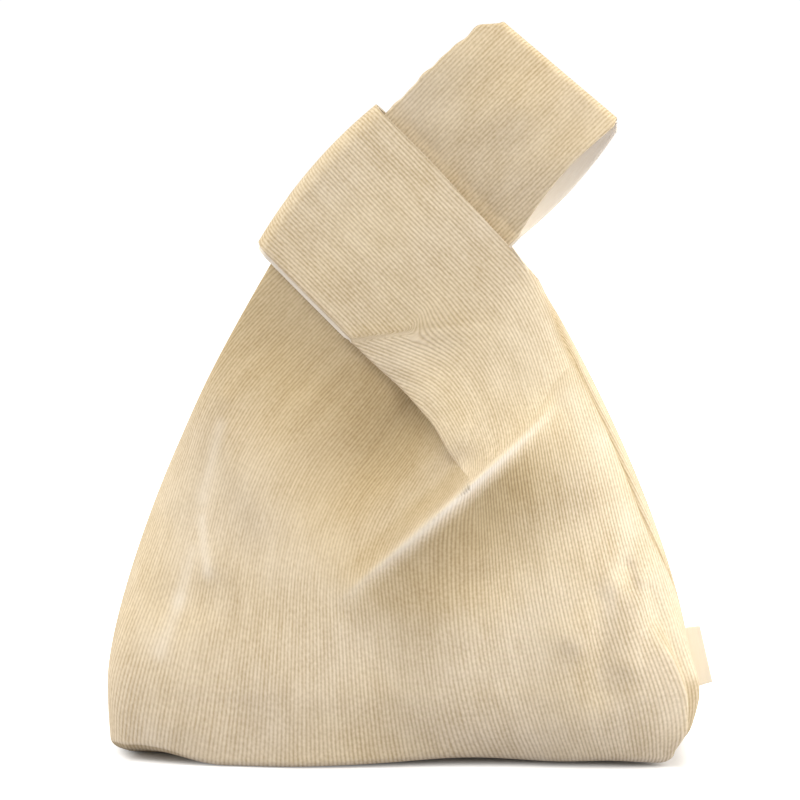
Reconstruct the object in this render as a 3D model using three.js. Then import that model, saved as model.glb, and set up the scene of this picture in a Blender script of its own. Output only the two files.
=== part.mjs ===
// Bento bag: a lined corduroy knot bag that stands on its boxed base, with its long handle drawn through
// its short one.
// Millimetres, +Z up, front towards -Y. The origin is the middle of the footprint, on the floor.
import * as THREE from "three";

// Cloth and thread
const corduroyThickness = 1.5;
const liningThickness = 0.6;
const seamRoom = 1.2; // between corduroy and lining, where the turned-in seams lie
const plyGap = 0.3; // between the two plies of a handle
const clearance = 0.3; // between pieces that touch
const threadWidth = 0.6;
const seamStop = 0.03; // share of the wall that a side seam's thread stops short of its top

// Bag body, measured on the corduroy
const bellyWidth = 306;
const bellyDepth = 100;
const bellyHeight = 40;
const baseWidth = 303;
const baseDepth = 95;
const baseRoll = 6; // radius of the roll from the base up into the walls
const neckWidth = 126;
const neckDepth = 24;
const neckHeight = 262;
const widthFall = 1.5; // 1 draws the sides in evenly, more draws them in later
const depthFall = 1.25;
const baseSquareness = 5; // 2 is an oval section, more is squarer
const neckSquareness = 2.4;

// Knot: where the handles cross
const knotOffset = -12; // to the right of the bag's middle
const knotHeight = 272;
const handleLean = 45; // degrees that the long handle leans to the right
const creaseReach = 122.5; // from the knot down to the crease where the short handle leaves the front
const mouthReach = 46; // from the knot down to the mouth's edge, under the short handle
const mouthNotch = 5; // how much further that edge is cut back at its end on the crease

// Pleat that runs out from the crease, down to the left; its places are counted from the knot
const pleatHeight = 7;
const pleatReach = 127; // down to its crest, level with the knot
const pleatSlope = 0.07; // how much its crest turns in towards the knot, for each mm along it
const pleatTop = 0; // along the long handle, to its upper end
const pleatPeak = -55; // to where it is highest
const pleatFoot = -142; // to its lower end
const pleatAbove = 16; // width of the slope above its crest
const pleatBelow = 28; // width of the slope below it

// Short handle, which wraps the long one
const shortHandleWidth = 94;
const shortHandleShift = -1; // of its middle, along the long handle
const shortFold = 12; // length of the turn round the long handle
const foldEase = 2; // room left inside that turn
const shortRise = 66.5; // length over which it climbs from the flat band to the crease

// Long handle
const longHandleWidth = 92;
const longHandleShift = 6; // of its middle, along the short handle
const longHandleReach = 125; // from the knot to the top of the loop
const longHandleTopWidth = 80;
const tongueWidth = 60; // of its lower end, inside the shoulder
const tongueReach = 50; // from the knot to its lower end
const tongueTaper = 35;
const loopOpening = 20; // widest gap inside the loop
const loopFold = 30; // length of the turn at the top of the loop
const flexReach = 70; // from the knot to the line where the loop flops over
const flexAngle = 80; // degrees that it flops to each side

// Left shoulder, which sleeves the long handle's lower end
const shoulderReach = 40; // from the knot down to its end, under the short handle
const shoulderFlat = 19; // length of its flat end
const shoulderTuck = 90; // length over which it flattens towards that end
const shoulderSquareness = 10;

// Woven label in the right side seam
const labelHeight = 28;
const labelReach = 9.5;
const labelPly = 0.3;
const labelGap = 0.3;
const labelCentre = 54; // above the floor

// Levels that follow from those sizes
const handlePly = corduroyThickness + plyGap + liningThickness;
const strapHalf = plyGap / 2 + handlePly;
const bodyPly = corduroyThickness + seamRoom + liningThickness;
const shoulderDepth = strapHalf + clearance + bodyPly;
const bandDepth = shoulderDepth + clearance + handlePly;
const longLeft = longHandleShift - longHandleWidth / 2;
const longRight = longHandleShift + longHandleWidth / 2;
const shortEnd = longLeft - foldEase - bodyPly;
const shortLow = shortHandleShift - shortHandleWidth / 2;
const shortHigh = shortHandleShift + shortHandleWidth / 2;
const flexSlope = Math.tan(THREE.MathUtils.degToRad(flexAngle / 2));
const lean = THREE.MathUtils.degToRad(handleLean);
const quarterTurn = Math.PI / 2;
const seamHalf = clearance / 2; // front and back keep this distance from the middle plane

// Insets of each layer's two faces below the face of the corduroy
const corduroyLayer = [0, corduroyThickness];
const bodyLiningLayer = [corduroyThickness + seamRoom, bodyPly];
const handleLiningLayer = [corduroyThickness + plyGap, handlePly];
const threadLayer = [corduroyThickness + clearance, corduroyThickness + clearance + threadWidth];
const endRoom = seamRoom - plyGap; // a handle's lining stops this much shorter, for the end seam

const { clamp, lerp } = THREE.MathUtils;

// A soft step from 0 to 1.
function ramp(value, from, to) {
  const share = clamp((value - from) / (to - from), 0, 1);
  return share * share * (3 - 2 * share);
}

// Evenly spaced values, ends included.
const spread = (from, to, count) => Array.from({ length: count + 1 }, (_, i) => lerp(from, to, i / count));

// Places in the knot's plane: along runs up the long handle, across runs down the short one.
function toKnot(x, z) {
  const right = x - knotOffset;
  const up = z - knotHeight;
  return {
    along: right * Math.sin(lean) + up * Math.cos(lean),
    across: right * Math.cos(lean) - up * Math.sin(lean),
  };
}

function fromKnot(along, across) {
  return {
    x: knotOffset + along * Math.sin(lean) + across * Math.cos(lean),
    z: knotHeight + along * Math.cos(lean) - across * Math.sin(lean),
  };
}

// Half the body's size at a height: from the base out to the belly, then in to the neck.
function bodyHalf(z, base, belly, neck, fall) {
  if (z < bellyHeight) return lerp(base, belly, Math.sin((z / bellyHeight) * quarterTurn)) / 2;
  const share = (z - bellyHeight) / (neckHeight - bellyHeight);
  return Math.max(belly - (belly - neck) * share ** fall, neck / 2) / 2;
}

const halfWidth = (z) => bodyHalf(z, baseWidth, bellyWidth, neckWidth, widthFall);
const halfDepth = (z) => bodyHalf(z, baseDepth, bellyDepth, neckDepth, depthFall);
const squareness = (z) => lerp(baseSquareness, neckSquareness, ramp(z, 0, neckHeight / 2));

// The rounding of a section at a share of its half width, 1 at its middle and 0 at the side seam.
const rounding = (share, power) => (1 - Math.min(1, Math.abs(share)) ** power) ** (1 / power);
const crown = (x, z, inset, power) => rounding(x / (halfWidth(z) - inset), power);

// How far the pleat stands out: a ridge that fades along its length.
function pleat(along, across) {
  const below = across - pleatReach - pleatSlope * along;
  const slope = 1 - ramp(Math.abs(below), 0, below < 0 ? pleatAbove : pleatBelow);
  return pleatHeight * slope * ramp(along, pleatFoot, pleatPeak) * (1 - ramp(along, pleatPeak, pleatTop));
}

// How far the body's front stands out. The left shoulder flattens where it goes under the short handle.
function bodyDepth(x, z, inset) {
  const { along, across } = toKnot(x, z);
  const flatStart = -shoulderReach - shoulderFlat;
  const sink = ramp(across, creaseReach, longRight + shoulderFlat);
  const flatten = ramp(along, flatStart - shoulderTuck, flatStart) * sink;
  const power = lerp(squareness(z), shoulderSquareness, flatten);
  const deep = lerp(halfDepth(z), shoulderDepth, flatten) - inset + pleat(along, across) * (1 - flatten);
  return deep * crown(x, z, inset, power);
}

// Positive where the front panel is cut away: above the shoulder's end, the mouth and the crease.
function cutAway(x, z) {
  const { along, across } = toKnot(x, z);
  const mouth = lerp(-shoulderReach, -mouthReach, ramp(across, longRight - shortRise / 3, longRight));
  const notch = mouthNotch * ramp(across, creaseReach - mouthNotch * 7, creaseReach - mouthNotch * 4);
  return Math.min(along - mouth + notch, creaseReach - across);
}

// Height where a column of the front panel ends. A column keeps its share of the width.
function columnTop(share, inset) {
  let low = baseRoll;
  let high = neckHeight + bellyWidth;
  for (let i = 0; i < 40; i++) {
    const z = (low + high) / 2;
    if (cutAway(share * (halfWidth(z) - inset), z) < 0) low = z;
    else high = z;
  }
  return low;
}

// A sheet of cloth as one closed shell: pointAt(s, t, inset) lies that far below the sheet's face, and the
// shell fills the space between two insets. A sheet that starts at a pole has a single point there.
function clothShell(pointAt, across, up, [faceInset, backInset], fromPole = false) {
  const points = [];
  const triangles = [];
  const lastColumn = across.length - 1;
  const lastRow = up.length - 1;
  const addLayer = (inset) => {
    const rows = up.map((t, j) => {
      const stops = fromPole && j === 0 ? [across[0]] : across;
      return stops.map((s) => points.push(pointAt(s, t, inset)) - 1);
    });
    return (i, j) => rows[j][Math.min(i, rows[j].length - 1)];
  };
  const addTriangle = (a, b, c) => {
    if (a !== b && b !== c && c !== a) triangles.push(a, b, c);
  };
  const addQuad = (a, b, c, d) => {
    addTriangle(a, b, c);
    addTriangle(a, c, d);
  };
  const face = addLayer(faceInset);
  const back = addLayer(backInset);
  for (let j = 0; j < lastRow; j++) {
    for (let i = 0; i < lastColumn; i++) {
      addQuad(face(i, j), face(i + 1, j), face(i + 1, j + 1), face(i, j + 1));
      addQuad(back(i, j), back(i, j + 1), back(i + 1, j + 1), back(i + 1, j));
    }
    addQuad(back(0, j), face(0, j), face(0, j + 1), back(0, j + 1));
    addQuad(face(lastColumn, j), back(lastColumn, j), back(lastColumn, j + 1), face(lastColumn, j + 1));
  }
  for (let i = 0; i < lastColumn; i++) {
    if (!fromPole) addQuad(back(i, 0), back(i + 1, 0), face(i + 1, 0), face(i, 0));
    addQuad(face(i, lastRow), face(i + 1, lastRow), back(i + 1, lastRow), back(i, lastRow));
  }
  const geometry = new THREE.BufferGeometry().setFromPoints(points);
  geometry.setIndex(triangles);
  geometry.computeVertexNormals();
  return geometry;
}

const corduroy = new THREE.MeshStandardMaterial({ color: 0xd8c3a0, roughness: 0.95, metalness: 0 });
const lining = new THREE.MeshStandardMaterial({ color: 0xeae2cf, roughness: 0.9, metalness: 0 });
const labelTape = new THREE.MeshStandardMaterial({ color: 0xf1e3c4, roughness: 0.8, metalness: 0 });
const thread = new THREE.MeshStandardMaterial({ color: 0xd0ba94, roughness: 0.7, metalness: 0 });

function addPiece(parent, name, geometry, material) {
  const mesh = new THREE.Mesh(geometry, material);
  mesh.name = name;
  parent.add(mesh);
  return mesh;
}

// The same piece at the front and, mirrored, at the back.
function addPair(parent, name, geometry, material) {
  addPiece(parent, `${name}_front`, geometry, material);
  addPiece(parent, `${name}_back`, geometry, material).scale.y = -1;
}

// Front panel: half of the base, the roll round its edge, and the wall up to the shoulder, mouth and crease.
// turn runs from the left seam, -1, to the right one, 1.
// step runs from 0 to 1 on the base, to 2 on the roll and to 3 on the wall.
function panelPoint(turn, step, inset) {
  const share = Math.sin(turn * quarterTurn);
  if (step > 2) {
    const z = lerp(baseRoll, columnTop(share, inset), step - 2);
    const x = share * (halfWidth(z) - inset);
    return new THREE.Vector3(x, -seamHalf - bodyDepth(x, z, inset), z);
  }
  const roll = Math.max(0, step - 1) * quarterTurn;
  const out = (baseRoll - inset) * Math.sin(roll);
  const wide = (halfWidth(baseRoll) - baseRoll) * Math.min(step, 1) + out;
  const deep = (halfDepth(baseRoll) - baseRoll) * Math.min(step, 1) + out;
  const front = deep * rounding(share, squareness(baseRoll));
  return new THREE.Vector3(wide * share, -seamHalf - front, baseRoll - (baseRoll - inset) * Math.cos(roll));
}

const mouthCorner = fromKnot(corduroyThickness - mouthReach - mouthNotch, creaseReach);
const mouthShare = mouthCorner.x / halfWidth(mouthCorner.z);
const mouthTurn = Math.asin(mouthShare) / quarterTurn;
const rowCrowding = 1.3; // 1 spaces the wall's rows evenly, more crowds them towards its top
const panelTurns = [...spread(-1, mouthTurn, 20), ...spread(mouthTurn, 1, 10).slice(1)];
const wallShares = spread(0, 1, 16).map((share) => 1 - (1 - share) ** rowCrowding);
const rollSteps = spread(1, 2, 3);
const panelSteps = [0, 0.5, ...rollSteps, ...wallShares.slice(1).map((share) => 2 + share)];

const bag = new THREE.Group();
addPair(bag, "outer_panel", clothShell(panelPoint, panelTurns, panelSteps, corduroyLayer, true), corduroy);
addPair(bag, "lining_panel", clothShell(panelPoint, panelTurns, panelSteps, bodyLiningLayer, true), lining);

// Handles, in the knot's own frame: +X runs down the short handle and +Z up the long one.
const knot = new THREE.Group();
knot.position.set(knotOffset, 0, knotHeight);
knot.rotation.y = lean;
bag.add(knot);

// Upper edge of the short handle: straight on the band, then down the right side seam to the crease.
function shortEdge(across, inset) {
  let low = baseRoll;
  let high = neckHeight;
  for (let i = 0; i < 40; i++) {
    const z = (low + high) / 2;
    if (toKnot(halfWidth(z) - inset, z).across > across) low = z;
    else high = z;
  }
  return Math.min(shortHigh, toKnot(halfWidth(low) - inset, low).along);
}

// Short handle: the turn round the long one, the flat band, and the climb down to the crease.
// reach runs from 0 to 1 round the turn and to 2 at the crease.
// side runs from the lower edge, 0, to the upper one, 1.
const shortSheet = (room) => (reach, side, inset) => {
  const bandStart = shortEnd + shortFold;
  const turn = Math.min(reach, 1) * quarterTurn;
  const band = lerp(bandStart, creaseReach - clearance, Math.max(0, reach - 1));
  const across = band - (shortFold - inset - room) * Math.cos(turn);
  const along = lerp(shortLow, shortEdge(across, inset), Math.sin(side * quarterTurn));
  const { x, z } = fromKnot(along, across);
  const climb = ramp(across, creaseReach - shortRise, creaseReach);
  const close = ramp(across, longRight, longRight + shortRise / 2);
  const round = lerp(1, crown(x, z, inset, squareness(z)), close);
  const level = lerp(bandDepth, halfDepth(z), climb) - inset + pleat(along, across);
  const deep = level * round * Math.sin(turn);
  return new THREE.Vector3(across, -seamHalf - deep, along);
};

const shortSides = spread(0, 1, 7);
const shortReaches = [...spread(0, 1, 4), ...spread(1, 2, 10).slice(1)];
addPair(knot, "short_handle", clothShell(shortSheet(0), shortReaches, shortSides, corduroyLayer), corduroy);
addPair(
  knot,
  "short_handle_lining",
  clothShell(shortSheet(endRoom), shortReaches, shortSides, handleLiningLayer),
  lining,
);

// Long handle below the flex line: flat plies from a tongue in the shoulder, up through the short handle.
function strapPoint(side, rise, inset) {
  const top = flexReach - (strapHalf - inset) * flexSlope - clearance / 2;
  const along = lerp(-tongueReach, top, rise);
  const widen = ramp(along, -tongueReach / 2, tongueTaper - tongueReach / 2);
  const left = lerp(longRight - tongueWidth, longLeft, widen);
  return new THREE.Vector3(lerp(left, longRight, side), inset - strapHalf, along);
}

// Loop above the flex line: the plies part, turn over the top, and meet at the end seam.
const loopSheet = (room) => (side, rise, inset) => {
  const start = flexReach + (strapHalf - inset) * flexSlope + clearance / 2;
  const turnStart = longHandleReach - loopFold;
  const turn = Math.max(0, rise - 1) * quarterTurn;
  const straight = lerp(start, turnStart, Math.min(rise, 1));
  const along = straight + (loopFold - inset - room) * Math.sin(turn);
  const part = ramp(straight, flexReach, turnStart);
  const deep = lerp(strapHalf, loopOpening / 2 + handlePly, part) - inset;
  const narrow = (along - flexReach) / (longHandleReach - flexReach);
  const across = longHandleShift + lerp(longHandleWidth, longHandleTopWidth, narrow) * (side - 0.5);
  return new THREE.Vector3(across, -seamHalf * Math.sin(turn) - deep * Math.cos(turn), along);
};

const strapSides = spread(0, 1, 2);
const strapRises = spread(0, 1, 6);
const loopSides = spread(0, 1, 4);
const loopRises = [...spread(0, 1, 5), ...spread(1, 2, 5).slice(1)];
addPair(knot, "long_handle", clothShell(strapPoint, strapSides, strapRises, corduroyLayer), corduroy);
addPair(
  knot,
  "long_handle_lining",
  clothShell(strapPoint, strapSides, strapRises, handleLiningLayer),
  lining,
);
addPair(knot, "long_handle_loop", clothShell(loopSheet(0), loopSides, loopRises, corduroyLayer), corduroy);
addPair(
  knot,
  "long_handle_loop_lining",
  clothShell(loopSheet(endRoom), loopSides, loopRises, handleLiningLayer),
  lining,
);

// Sewing thread of the outer seams, in the room between corduroy and lining: side seams, base seam, the seams
// across the two boxed corners, and the seams that close the handles' ends.
const threadSides = [-threadWidth / 2, threadWidth / 2];
const seamSteps = panelSteps.filter((step) => step > 2).map((step) => Math.min(step, 3 - seamStop));
const cornerWidth = threadWidth / (baseRoll * quarterTurn) / 2;
for (const [side, name] of [
  [-1, "left"],
  [1, "right"],
]) {
  const sideSeam = (out, step, inset) => panelPoint(side, step, inset).setY(side * out);
  const sideShell = clothShell(sideSeam, threadSides, seamSteps, threadLayer);
  addPiece(bag, `side_seam_thread_${name}`, sideShell, thread);
  const cornerTurns = panelTurns.map((turn) => 1 - side * turn).sort((a, b) => a - b).slice(0, 4);
  const cornerStops = [...cornerTurns.slice(1).map((turn) => -turn).reverse(), ...cornerTurns];
  const cornerSeam = (stop, rise, inset) => {
    const point = panelPoint(side * (1 - Math.abs(stop)), rollSteps[1] + rise, inset);
    return point.setY(side * Math.sign(stop) * Math.abs(point.y));
  };
  const cornerShell = clothShell(cornerSeam, cornerStops, [-cornerWidth, cornerWidth], threadLayer);
  addPiece(bag, `corner_seam_thread_${name}`, cornerShell, thread);
}

const baseReach = halfWidth(baseRoll) - baseRoll;
const baseSeam = (out, across, inset) => new THREE.Vector3(across, out, inset);
const baseSpan = [-baseReach, baseReach];
addPiece(bag, "base_seam_thread", clothShell(baseSeam, threadSides, baseSpan, threadLayer), thread);

const shortSeam = (along, out, inset) => new THREE.Vector3(shortEnd + inset, out, along);
const shortSpan = [shortLow, shortHigh];
addPiece(knot, "short_handle_end_thread", clothShell(shortSeam, shortSpan, threadSides, threadLayer), thread);

const longSeam = (across, out, inset) => new THREE.Vector3(across, out, longHandleReach - inset);
const longSpan = [-0.5, 0.5].map((side) => longHandleShift + side * longHandleTopWidth);
addPiece(knot, "long_handle_end_thread", clothShell(longSeam, longSpan, threadSides, threadLayer), thread);

// Woven label: a tape folded double, its raw ends at the right side seam.
const labelHalf = labelGap / 2 + labelPly;
const labelFold = labelReach - labelHalf;
const labelSection = new THREE.Shape()
  .moveTo(0, -labelHalf)
  .lineTo(labelFold, -labelHalf)
  .absarc(labelFold, 0, labelHalf, -quarterTurn, quarterTurn, false)
  .lineTo(0, labelHalf)
  .lineTo(0, labelGap / 2)
  .lineTo(labelFold, labelGap / 2)
  .absarc(labelFold, 0, labelGap / 2, quarterTurn, -quarterTurn, true)
  .lineTo(0, -labelGap / 2);
const labelShell = new THREE.ExtrudeGeometry(labelSection, {
  depth: labelHeight,
  bevelEnabled: false,
  curveSegments: 5,
});
labelShell.translate(0, 0, -labelHeight / 2);
const label = addPiece(bag, "woven_label", labelShell, labelTape);
label.position.set(halfWidth(labelCentre) + clearance + labelHalf, 0, labelCentre);
const labelTop = halfWidth(labelCentre + labelHeight / 2);
const labelBottom = halfWidth(labelCentre - labelHeight / 2);
label.rotation.y = Math.atan2(labelTop - labelBottom, labelHeight);

// The footprint's middle goes to the origin.
bag.position.x = -new THREE.Box3().setFromObject(bag).getCenter(new THREE.Vector3()).x;

export default bag;
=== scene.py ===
import math

import bmesh
import bpy
import numpy as np
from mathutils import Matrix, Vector


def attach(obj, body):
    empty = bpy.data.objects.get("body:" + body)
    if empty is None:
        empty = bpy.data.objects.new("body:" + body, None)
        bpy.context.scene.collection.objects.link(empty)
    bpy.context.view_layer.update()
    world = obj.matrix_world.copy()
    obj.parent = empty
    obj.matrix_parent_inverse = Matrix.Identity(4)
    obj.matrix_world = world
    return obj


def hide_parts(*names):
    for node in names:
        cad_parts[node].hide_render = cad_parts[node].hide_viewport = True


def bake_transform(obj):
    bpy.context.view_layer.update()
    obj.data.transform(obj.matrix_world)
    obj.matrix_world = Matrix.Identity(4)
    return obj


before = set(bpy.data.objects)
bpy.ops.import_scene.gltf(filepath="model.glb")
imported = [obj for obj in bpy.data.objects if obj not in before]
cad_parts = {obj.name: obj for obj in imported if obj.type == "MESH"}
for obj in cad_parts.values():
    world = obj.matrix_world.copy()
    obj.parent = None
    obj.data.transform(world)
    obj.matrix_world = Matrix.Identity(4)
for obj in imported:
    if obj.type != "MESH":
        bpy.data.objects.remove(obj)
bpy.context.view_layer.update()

# Shapes are worked out in millimetres in the bag's own frame, front towards -Y, and go into the meshes in
# metres. Most pairs of numbers in the tables below are where a change starts and where it is complete.
body = {
    "shift": -5.46,  # the bag's middle from the middle of the footprint
    "bellyWidth": 306, "bellyDepth": 100, "bellyHeight": 40,
    "baseWidth": 303, "baseDepth": 95, "baseRoll": 4.5,
    "neckWidth": 126, "neckDepth": 24, "neckHeight": 262,
    "widthFall": 1.5, "depthFall": 1.25,
    "baseSquareness": 5, "neckSquareness": 2.4,
    "seamGroove": 1.8, "seamReach": 2, "seamStart": (4, 16), "seamFade": (0, 0.7),
    "seamForward": 15, "forwardLow": (70, 130), "forwardHigh": (265, 225), "forwardTurn": 0.5,
    "gap": 0.1,  # half of what is left between the front and the back
    "columns": 240, "crowding": 0.18, "cornerColumns": 32, "cornerReach": 24,
    "baseRows": 14, "rollRows": 8, "wallRows": 150, "wallCrowding": 1.15,
}
knot = {"x": -12, "z": 272, "crease": 122.5, "mouth": -37, "mouthEnd": 62, "pucker": -50.5}


def ramp(value, start, end):
    share = np.clip((value - start) / (end - start), 0, 1)
    return share * share * (3 - 2 * share)


def mix(a, b, share):
    return a + (b - a) * share


def bell(value, width, middle=0.0):
    return np.exp(-((value - middle) / width) ** 2)


def toKnot(x, z):
    right, up = x - knot["x"], z - knot["z"]
    return (right + up) / math.sqrt(2), (right - up) / math.sqrt(2)  # along the long handle, across it


def fromKnot(along, across):
    return knot["x"] + (along + across) / math.sqrt(2), knot["z"] + (along - across) / math.sqrt(2)


# Half the body's size at a height: a quarter sine from base to belly, then a power curve in to the neck.
def bodyHalf(z, base, belly, neck, fall):
    widest = body["bellyHeight"]
    low = mix(base, belly, np.sin(np.clip(z / widest, 0, 1) * math.pi / 2))
    share = np.clip((z - widest) / (body["neckHeight"] - widest), 0, None)
    high = np.maximum(belly - (belly - neck) * share ** fall, neck / 2)
    return np.where(z < widest, low, high) / 2


def halfWidth(z):
    return bodyHalf(z, body["baseWidth"], body["bellyWidth"], body["neckWidth"], body["widthFall"])


def halfDepth(z):
    return bodyHalf(z, body["baseDepth"], body["bellyDepth"], body["neckDepth"], body["depthFall"])


def squareness(z):
    return mix(body["baseSquareness"], body["neckSquareness"], ramp(z, 0, body["neckHeight"] / 2))


# A section's rounding: 1 at its middle, falling as a superellipse to 0 at the side seam.
def rounding(share, power):
    return (1 - np.minimum(1, np.abs(share)) ** power) ** (1 / power)


# Soft folds of the front and back cloth: from x, z to x, z, height, width at each end, all in mm.
folds = {
    -1: [
        (-26, 218, 28, 224, 1.8, 4, 8),
        (-40, 196, -92, 108, 1.6, 13, 18),
        (-84, 176, -112, 84, -1.6, 11, 15),
        (-98, 70, -104, 22, 1.6, 12, 14),
        (-88, 186, -94, 104, 1.5, 5, 7),
        (60, 118, 72, 40, -1.2, 15, 18),
        (114, 96, 93, 70, 2.3, 6, 8),
        (106, 88, 106, 44, -2.3, 7, 9),
        (129, 97, 119, 58, 2.3, 5, 8),
        (133, 92, 135, 80, -1.7, 4, 5),
        (124, 104, 125, 95, -1.9, 4, 5),
        (4, 70, -6, 18, -1.2, 18, 20),
    ],
    1: [
        (-50, 190, -100, 96, 1.8, 14, 18),
        (30, 96, 44, 30, 1.7, 16, 20),
        (-70, 80, -78, 24, -1.5, 14, 18),
        (92, 120, 108, 40, -1.4, 13, 16),
    ],
}


# Folds are rounded ridges: height times a bell curve of the distance to a line, wider at one end.
def foldHeight(x, z, lines):
    total = np.zeros(np.broadcast(x, z).shape)
    for x0, z0, x1, z1, height, startWidth, endWidth in lines:
        run, rise = x1 - x0, z1 - z0
        share = np.clip(((x - x0) * run + (z - z0) * rise) / (run * run + rise * rise), 0, 1)
        away = np.hypot(x - x0 - share * run, z - z0 - share * rise)
        total = total + height * bell(away, mix(startWidth, endWidth, share))
    return total


# The sharp pleat that runs out from the pucker under the short handle: from x, z to x, z.
pleats = {
    -1: {"line": (-30, 86, 86, 190), "height": 11, "above": 5.5, "below": 12.5, "crest": 0.6, "peak": 0.62,
         "groove": 3.5, "offset": 11, "width": 7, "lip": 0.4},
    1: {"line": (-22, 98, 78, 185), "height": 6, "above": 5, "below": 14, "crest": 1.2, "peak": 0.6,
        "groove": 4, "offset": 8, "width": 6, "lip": 1},
}
pleatSwell = 1.2  # how slowly a pleat rises from its ends


# A pleat is a rounded cusp: height times a falling exponential of the distance to its crest, highest at its
# peak, with a groove tucked in above it, a bell curve of the distance, as far as the peak.
def pleatPlace(x, z, pleat):
    x0, z0, x1, z1 = pleat["line"]
    peak, length = pleat["peak"], math.hypot(x1 - x0, z1 - z0)
    share = ((x - x0) * (x1 - x0) + (z - z0) * (z1 - z0)) / length ** 2
    away = ((x - x0) * (z1 - z0) - (z - z0) * (x1 - x0)) / length  # positive below the crest
    swell = np.clip(np.where(share < peak, share / peak, (1 - share) / (1 - peak)), 0, 1)
    return share, away, np.sin(swell * math.pi / 2) ** pleatSwell


def beforePeak(share, pleat):
    return ramp(share, pleat["peak"] + 0.08, pleat["peak"] - 0.04)


def pleatHeight(x, z, pleat):
    share, away, swell = pleatPlace(x, z, pleat)
    reach = np.where(away > 0, pleat["below"], pleat["above"])
    fall = np.exp(-(np.sqrt(away ** 2 + pleat["crest"] ** 2) - pleat["crest"]) / reach)
    groove = pleat["groove"] * bell(away, pleat["width"], -pleat["offset"])
    groove = groove - pleat["lip"] * bell(away, pleat["width"], -2 * pleat["offset"])
    return swell * (pleat["height"] * fall - groove * beforePeak(share, pleat))


# Slight unevenness of hand-sewn cloth: a few crossed waves, of lengths in mm that never line up.
def unevenness(x, z, seed):
    first = np.sin(x / 17 + seed) * np.sin(z / 23 + 1.7 * seed)
    second = np.sin((x + z) / 13 + 2.1 * seed) * np.sin((x - z) / 19 + seed)
    return 0.45 * first + 0.3 * second


def clothRelief(x, z, side):
    seed = 1.3 if side < 0 else 4.2
    return foldHeight(x, z, folds[side]) + pleatHeight(x, z, pleats[side]) + unevenness(x, z, seed)


shoulder = {
    "depth": 6.15, "flatStart": -62, "tuck": 90, "sinkEnd": 74, "squareness": 10,
    "calm": 0.85, "calmStart": 0.6,  # the share of the folds that the pull takes out
}


# How far the body stands out: the section's half depth, sunk to the flat shoulder on the knot's lower left.
def bodyDepth(x, z, side):
    along, across = toKnot(x, z)
    sink = ramp(across, knot["crease"], shoulder["sinkEnd"])
    flatten = ramp(along, shoulder["flatStart"] - shoulder["tuck"], shoulder["flatStart"]) * sink
    crown = rounding(x / halfWidth(z), mix(squareness(z), shoulder["squareness"], flatten))
    calm = 1 - shoulder["calm"] * ramp(flatten, shoulder["calmStart"], 1)
    relief = clothRelief(x, z, side) * ramp(crown, *body["seamFade"]) * calm
    return mix(halfDepth(z), shoulder["depth"], flatten) * crown + relief


# The right side seam lies towards the front: points near it are turned round the section, on the same curve.
def carryRound(x, out, z, side, weight=1.0):
    wide, deep, power = halfWidth(z), halfDepth(z), squareness(z)
    share = np.clip(x / wide, 0, 1)
    turn = np.arcsin(share ** (power / 2))
    forward = math.radians(body["seamForward"]) * weight
    forward = forward * ramp(z, *body["forwardLow"]) * ramp(z, *body["forwardHigh"])
    moved = turn + side * forward * ramp(turn, body["forwardTurn"], math.pi / 2)
    reach = np.abs(np.sin(moved)) ** (2 / power) - share
    stand = np.sign(np.cos(moved)) * np.abs(np.cos(moved)) ** (2 / power) - rounding(share, power)
    return x + wide * reach, side * (out + body["gap"] + deep * stand)


# Positive above the panel's top edge: the shoulder's end and mouth under the short handle, then the crease.
def cutAway(x, z):
    along, across = toKnot(x, z)
    beyond = (across - knot["mouthEnd"]) / (knot["crease"] - knot["mouthEnd"])
    mouth = mix(knot["mouth"], knot["pucker"], np.clip(beyond, 0, 1))
    return np.minimum(along - mouth, knot["crease"] - across)


# The height up to which a test holds, found by halving.
def searchHeight(shape, highest, holds, lowest=20.0, halvings=40):
    low, high = np.full(shape, lowest), np.full(shape, float(highest))
    for _ in range(halvings):
        middle = (low + high) / 2
        below = holds(middle)
        low, high = np.where(below, middle, low), np.where(below, high, middle)
    return low


def columnTop(share):
    return searchHeight(share.shape, 560, lambda z: cutAway(share * halfWidth(z), z) < 0)


# Columns lie evenly along the belly's section, closer together beside the side seams and the pucker.
def columnShares():
    turn = np.linspace(-math.pi / 2, math.pi / 2, 4001)
    power = squareness(np.array(float(body["bellyHeight"])))
    share = np.sign(turn) * np.abs(np.sin(turn)) ** (2 / power)
    deep = np.abs(np.cos(turn)) ** (2 / power)
    step = np.hypot(np.diff(share) * body["bellyWidth"], np.diff(deep) * body["bellyDepth"]) / 2
    arc = np.concatenate([[0], np.cumsum(step)])
    even = np.linspace(-1, 1, body["columns"])
    crowded = even * (1 - body["crowding"]) + body["crowding"] * np.sin(even * math.pi / 2)
    stops = crowded * arc[-1] / 2 + arc[-1] / 2
    cornerX, cornerZ = fromKnot(knot["pucker"], knot["crease"])
    corner = cornerX / halfWidth(np.array(cornerZ))
    extra = np.linspace(-body["cornerReach"], body["cornerReach"], body["cornerColumns"])
    stops = np.sort(np.concatenate([stops, np.interp(corner, share, arc) + extra]))
    shares = np.interp(stops, arc, share)
    shares[0], shares[-1] = -1, 1
    nearest = int(np.argmin(np.abs(shares - corner)))
    shares[nearest] = corner
    return shares, nearest


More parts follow.
